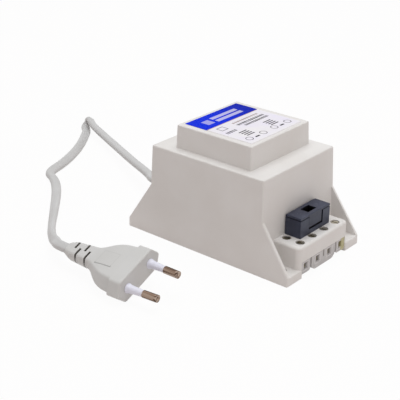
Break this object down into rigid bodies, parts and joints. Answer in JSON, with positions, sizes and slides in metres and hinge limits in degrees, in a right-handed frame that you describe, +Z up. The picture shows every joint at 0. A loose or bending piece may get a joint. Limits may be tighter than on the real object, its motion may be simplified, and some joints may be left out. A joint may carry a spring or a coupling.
{
  "type": "step-down transformer",
  "caption": "Potted step-down transformer in a stepped, gusseted casing with screw terminals, a glass fuse under a lift-off cover, and a mains cord with a flat pin plug.",
  "frame": {"origin": "middle of the casing's underside", "axes": "+X to the terminal end, -X to the cord end, +Z up from the mounting surface"},
  "size_m": [0.2477, 0.1715, 0.0668],
  "materials": {
    "casing_plastic": "satin white moulding",
    "resin": "grey poured compound",
    "core_steel": "stacked silicon steel",
    "bobbin_plastic": "natural nylon",
    "copper": "enamelled copper wire",
    "coil_tape": "yellow polyester tape",
    "lead_sheath": "soft white insulation",
    "terminal_plastic": "light grey moulding",
    "terminal_plastic_warm": "warm ivory moulding",
    "clamp_brass": "plain brass",
    "screw_steel": "zinc plated steel",
    "fuse_plastic": "black moulding",
    "fuse_glass": "clear tube",
    "cap_plate": "nickel plated caps",
    "wire_steel": "fine wire",
    "label_film": "printed film with plain fields",
    "cord_sheath": "white flexible sheath",
    "plug_plastic": "white moulded plug",
    "pin_plate": "nickel plated brass",
    "sleeve_plastic": "white insulating sleeves"
  },
  "bodies": {
    "transformer": {"casing": "casing_plastic", "potting_resin": "resin", "core_e_stack": "core_steel", "core_i_stack": "core_steel", "bobbin": "bobbin_plastic", "primary_winding": "copper", "secondary_winding": "copper", "primary_tape": "coil_tape", "secondary_tape": "coil_tape", "primary_leads": "lead_sheath", "secondary_leads": "lead_sheath", "terminal_block_near": "terminal_plastic", "terminal_block_pair": "terminal_plastic", "terminal_block_far": "terminal_plastic_warm", "terminal_clamps": "clamp_brass", "terminal_screws": "screw_steel", "fuse_blocks": "clamp_brass", "fuse_base": "fuse_plastic", "fuse_clips": "clamp_brass", "fuse_glass": "fuse_glass", "fuse_caps": "cap_plate", "fuse_wire": "wire_steel", "rating_label": "label_film", "cord_boot": "cord_sheath", "cord": "cord_sheath", "plug_body": "plug_plastic", "plug_pins": "pin_plate", "pin_sleeves": "sleeve_plastic"},
    "cover": {"fuse_cover": "fuse_plastic"}
  },
  "joints": [
    {"name": "fuse_cover_lift", "type": "slide", "parent": "transformer", "child": "cover", "axis": [0, 0, 1], "range_m": [0, 0.014]}
  ]
}
